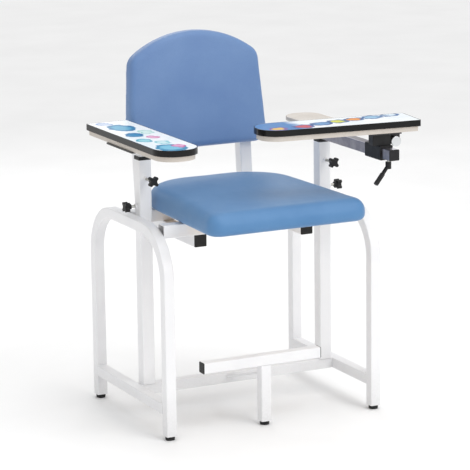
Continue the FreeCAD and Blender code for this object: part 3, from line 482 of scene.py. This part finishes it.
# seat and back are one vinyl: the seat's copy is painted deeper and the back's lighter, painted shade and
# painted light for how each surface catches the light
seat_vinyl_painted_deeper = upholstery_vinyl("blue_vinyl_seat_painted_deeper", "5485b4", "5b8ab8", "4e80b0")
back_vinyl_painted_lighter = upholstery_vinyl("blue_vinyl_back_painted_lighter", "6a8bb9", "6f8fbc", "6586b6")
print("vinyl ready")

# %% [markdown]
# ## Dress the hard parts
# Each part of the frame already names the finish it has. A table from finish to material dresses them
# all; the printed boards differ from one another, and the back pad gets the vinyl painted lighter.

# %% Give every part its material
FINISH = {"white_enamel": white_powder_coat, "black_enamel": black_powder_coat, "grey_steel": boom_zinc,
          "zinc": screw_zinc, "chrome": chrome, "black_plastic": black_nylon, "black_edging": black_edging,
          "blue_vinyl": seat_vinyl_painted_deeper, "plywood": birch, "fibreboard": core, "almond_backing": almond,
          "printed_laminate": fixed_print}
OWN_FINISH = {"flip_board_laminate": flip_print, "back_pad": back_vinyl_painted_lighter}
slot_of = {row["node"]: row["material_slot"] for row in frame["record"]["subparts"]}
for part_name, part in frame["nodes"].items():
    material = OWN_FINISH.get(part_name, FINISH[slot_of[part_name]])
    if not part.material_slots:
        part.data.materials.append(material)
    for part_slot in part.material_slots:
        part_slot.material = material
print("dressed", len(slot_of), "parts")


# %% [markdown]
# ## Upholstery
# A seat pad is a block of foam on a board, with vinyl pulled over it and stapled underneath. The
# foam pushes the cover out everywhere except where the board holds it, so the top is crowned and the
# edges are full and round. The same thing is done here: a copy of the pad becomes cloth, air pressure
# takes the place of the foam, and the part against the board is held still. Cloth wrinkles where real
# vinyl over firm foam is taut, so the movement is averaged over its neighbours and then scaled to a
# chosen crown: the simulation decides where the pad swells, and the crown decides how much.

# %% Pad by cloth simulation
VOXEL = 5.0 * MM
PRESSURE = 4.0
FRAMES = 20
SPREAD_ROUNDS = 60      # averaging of the movement
SOFTEN_ROUNDS = 3       # averaging of the finished surface
CLOTH_STIFFNESS = 25    # against stretching and squeezing
CLOTH_BENDING = 2.0
FULL_SWELL = 99.5       # percentile of the movement that counts as the full swell


def plain_mesh(object_, name):
    """Evaluate an object and return its final mesh as a new plain mesh."""
    depsgraph = bpy.context.evaluated_depsgraph_get()
    mesh = bpy.data.meshes.new_from_object(object_.evaluated_get(depsgraph))
    mesh.name = name
    return mesh


def spread(values, mesh, rounds):
    """Average values with their neighbours along the mesh's edges, several times over."""
    ends = np.array([edge.vertices[:] for edge in mesh.edges])
    count = np.bincount(ends.ravel(), minlength=len(values))[:, None]
    for _ in range(rounds):
        total = np.zeros_like(values)
        np.add.at(total, ends[:, 0], values[ends[:, 1]])
        np.add.at(total, ends[:, 1], values[ends[:, 0]])
        values = 0.5 * values + 0.5 * total / count
    return values


def foam_block(part_name, name):
    """Closed mesh of evenly sized faces in the shape of a pad of the frame."""
    mesh = frame["nodes"][part_name].data.copy()
    work = bmesh.new()
    work.from_mesh(mesh)
    bmesh.ops.remove_doubles(work, verts=work.verts, dist=1e-5)
    bmesh.ops.recalc_face_normals(work, faces=work.faces)
    work.to_mesh(mesh)
    work.free()
    pad = bpy.data.objects.new(name, mesh)
    bpy.context.scene.collection.objects.link(pad)
    remesh = pad.modifiers.new("remesh", "REMESH")
    remesh.mode = "VOXEL"
    remesh.voxel_size = VOXEL
    pad.data = plain_mesh(pad, name)
    pad.modifiers.clear()
    return pad


def blow_up(pad, held):
    """How far each point moves when the pad is cloth with air inside; held points stay."""
    begin = np.array([v.co for v in pad.data.vertices])
    group = pad.vertex_groups.new(name="held")
    group.add([int(k) for k in np.nonzero(held)[0]], 1.0, "REPLACE")
    cloth = pad.modifiers.new("cloth", "CLOTH")
    settings = cloth.settings
    settings.vertex_group_mass = "held"
    settings.use_pressure = True
    settings.uniform_pressure_force = PRESSURE
    settings.quality = 5
    settings.tension_stiffness = CLOTH_STIFFNESS
    settings.compression_stiffness = CLOTH_STIFFNESS
    settings.bending_stiffness = CLOTH_BENDING
    settings.effector_weights.gravity = 0.0
    cloth.collision_settings.use_collision = False
    for step in range(1, FRAMES + 1):
        bpy.context.scene.frame_set(step)
    blown = plain_mesh(pad, "blown")
    pad.modifiers.clear()
    pad.vertex_groups.clear()
    bpy.context.scene.frame_set(1)
    return np.array([v.co for v in blown.vertices]) - begin


def puffed_pad(part_name, name, plane, normal, held_mm, crown_mm, side_mm, material):
    """A pad's cover: swollen by crown_mm away from its board's plane and by side_mm sideways."""
    pad = foam_block(part_name, name)
    points = np.array([v.co for v in pad.data.vertices])
    normal = np.array(normal)
    depth = (points - np.array(plane)) @ normal
    move = blow_up(pad, depth < held_mm * MM)
    move = spread(move, pad.data, SPREAD_ROUNDS)
    out = move @ normal
    side = move - np.outer(out, normal)
    side_length = np.linalg.norm(side, axis=1)
    print(name, "swelled", round(float(out.max()) * 1000, 1), "mm up and",
          round(float(side_length.max()) * 1000, 1), "mm sideways")
    full = np.percentile(out, FULL_SWELL)
    side_full = np.percentile(side_length, FULL_SWELL)
    move = np.outer(out * (crown_mm * MM / full), normal) + side * (side_mm * MM / side_full)
    points = points + move
    pad.data.vertices.foreach_set("co", points.ravel())
    points = spread(points, pad.data, SOFTEN_ROUNDS)
    pad.data.vertices.foreach_set("co", points.ravel())
    finish = pad.modifiers.new("finish", "SUBSURF")
    finish.levels = 1
    finish.render_levels = 1
    final = plain_mesh(pad, name)
    pad.modifiers.clear()
    pad.data = final
    for polygon in final.polygons:
        polygon.use_smooth = True
    final.materials.clear()
    final.materials.append(material)
    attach(pad, "frame")
    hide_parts(part_name)


seat_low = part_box("seat_pad")[0]
puffed_pad("seat_pad", "seat_cover", (0, 0, seat_low.z), (0, 0, 1),
           held_mm=14, crown_mm=8.0, side_mm=2.5, material=seat_vinyl_painted_deeper)

LEAN = math.radians(5.0)
back_forward = Vector((0, -math.cos(LEAN), math.sin(LEAN)))
board_points = [Vector(v.co) for v in frame["nodes"]["back_board"].data.vertices]
back_plane = min(board_points, key=lambda p: p.dot(back_forward))
puffed_pad("back_pad", "back_cover", tuple(back_plane), tuple(back_forward),
           held_mm=10, crown_mm=7.0, side_mm=2.0, material=back_vinyl_painted_lighter)
print("covers made")

# %% [markdown]
# ## Staples
# Under the seat and behind the back, the vinyl is turned over and stapled to the board every couple of
# centimetres. Repeats along a path are what Geometry Nodes are for: a curve runs round each board, points
# are set along it at the staple's pitch, and a small wire staple is put on every point, square to the edge.

# %% Staples along the boards
STAPLE_PITCH = 22 * MM
STAPLE_CROWN = 10 * MM      # across the staple
STAPLE_WIRE = 1.1 * MM
HEM = 6 * MM                # from the board's edge to the row of staples


def hull(points):
    """Outline of flat points, anticlockwise."""
    points = sorted(set(map(tuple, points)))

    def chain(run):
        line = []
        for p in run:
            while len(line) > 1 and ((line[-1][0] - line[-2][0]) * (p[1] - line[-2][1])
                                     - (line[-1][1] - line[-2][1]) * (p[0] - line[-2][0])) <= 0:
                line.pop()
            line.append(p)
        return line[:-1]
    return chain(points) + chain(points[::-1])


def staple_tree():
    """Node group: staples of a given pitch, crown and wire along a mesh outline, facing outwards."""
    tree = bpy.data.node_groups.new("staples_along_edge", "GeometryNodeTree")
    face = tree.interface
    face.new_socket("Geometry", in_out="INPUT", socket_type="NodeSocketGeometry")
    for label in ("Pitch", "Crown", "Wire"):
        face.new_socket(label, in_out="INPUT", socket_type="NodeSocketFloat")
    face.new_socket("Outward", in_out="INPUT", socket_type="NodeSocketVector")
    face.new_socket("Finish", in_out="INPUT", socket_type="NodeSocketMaterial")
    face.new_socket("Geometry", in_out="OUTPUT", socket_type="NodeSocketGeometry")
    given = add(tree, "NodeGroupInput").outputs
    path = add(tree, "GeometryNodeMeshToCurve", links={"Mesh": given["Geometry"]})
    spots = add(tree, "GeometryNodeCurveToPoints", mode="LENGTH",
                links={"Curve": path.outputs["Curve"], "Length": given["Pitch"]})
    size = add(tree, "ShaderNodeCombineXYZ",
               links={"X": given["Crown"], "Y": given["Wire"], "Z": given["Wire"]})
    crown = add(tree, "GeometryNodeMeshCube", links={"Size": size.outputs["Vector"]})
    upright = add(tree, "FunctionNodeAlignRotationToVector", axis="Z", links={"Vector": given["Outward"]})
    turned = add(tree, "FunctionNodeAlignRotationToVector", axis="X", pivot_axis="Z",
                 links={"Rotation": upright.outputs["Rotation"], "Vector": spots.outputs["Tangent"]})
    placed = add(tree, "GeometryNodeInstanceOnPoints",
                 links={"Points": spots.outputs["Points"], "Instance": crown.outputs["Mesh"],
                        "Rotation": turned.outputs["Rotation"]})
    real = add(tree, "GeometryNodeRealizeInstances", links={"Geometry": placed.outputs["Instances"]})
    dressed = add(tree, "GeometryNodeSetMaterial",
                  links={"Geometry": real.outputs["Geometry"], "Material": given["Finish"]})
    add(tree, "NodeGroupOutput", links={"Geometry": dressed.outputs["Geometry"]})
    return tree


def staple_row(name, part_name, outward, tree):
    """One row of staples round a board, just outside its edge and just proud of the vinyl."""
    outward = Vector(outward).normalized()
    spin = outward.to_track_quat("Z", "X").to_matrix()
    local = [spin.transposed() @ v.co for v in frame["nodes"][part_name].data.vertices]
    top = max(p.z for p in local)
    near_face = [(round(p.x, 5), round(p.y, 5)) for p in local if top - p.z < 0.1 * MM]
    ring = [Vector((*p, 0)) for p in hull(near_face)]
    points = []
    for k, here in enumerate(ring):
        away = Vector((0, 0, 0))
        for edge in (here - ring[k - 1], ring[(k + 1) % len(ring)] - here):
            away += Vector((edge.y, -edge.x, 0)).normalized()
        points.append(spin @ (here + away.normalized() * HEM + Vector((0, 0, top + 0.2 * STAPLE_WIRE))))
    mesh = bpy.data.meshes.new(name)
    mesh.from_pydata(points, [(k, (k + 1) % len(points)) for k in range(len(points))], [])
    row = bpy.data.objects.new(name, mesh)
    bpy.context.scene.collection.objects.link(row)
    modifier = row.modifiers.new("staples", "NODES")
    modifier.node_group = tree
    sizes = {"Pitch": STAPLE_PITCH, "Crown": STAPLE_CROWN, "Wire": STAPLE_WIRE, "Outward": outward,
             "Finish": screw_zinc}
    for socket in tree.interface.items_tree:
        if socket.in_out == "INPUT" and socket.name in sizes:
            modifier[socket.identifier] = sizes[socket.name]
    final = plain_mesh(row, name)
    row.modifiers.clear()
    row.data = final
    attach(row, "frame")
    print(name, "has", len(final.polygons) // 6, "staples")


staples = staple_tree()
staple_row("seat_staples", "seat_board", (0, 0, -1), staples)
staple_row("back_staples", "back_board", -back_forward, staples)

# %% [markdown]
# ## Floor
# A plain pale floor, wide enough that its edge is never seen, with a faint mottling like sealed concrete.

# %% Floor
floor_mesh = bpy.data.meshes.new("floor")
REACH = 14.0
floor_mesh.from_pydata([(-REACH, -REACH, 0), (REACH, -REACH, 0), (REACH, REACH, 0), (-REACH, REACH, 0)], [],
                       [(0, 1, 2, 3)])
floor = bpy.data.objects.new("floor", floor_mesh)
bpy.context.scene.collection.objects.link(floor)
pale, tree, shader, where = start("pale_floor", roughness=0.7)
tree.links.new(ramp(tree, noise(tree, where, 400, 3), [(0.3, linear("f6f6f6")), (0.7, linear("f2f2f2"))]),
               shader.inputs["Base Color"])
floor_mesh.materials.append(pale)
print("floor laid,", 2 * REACH, "m square")
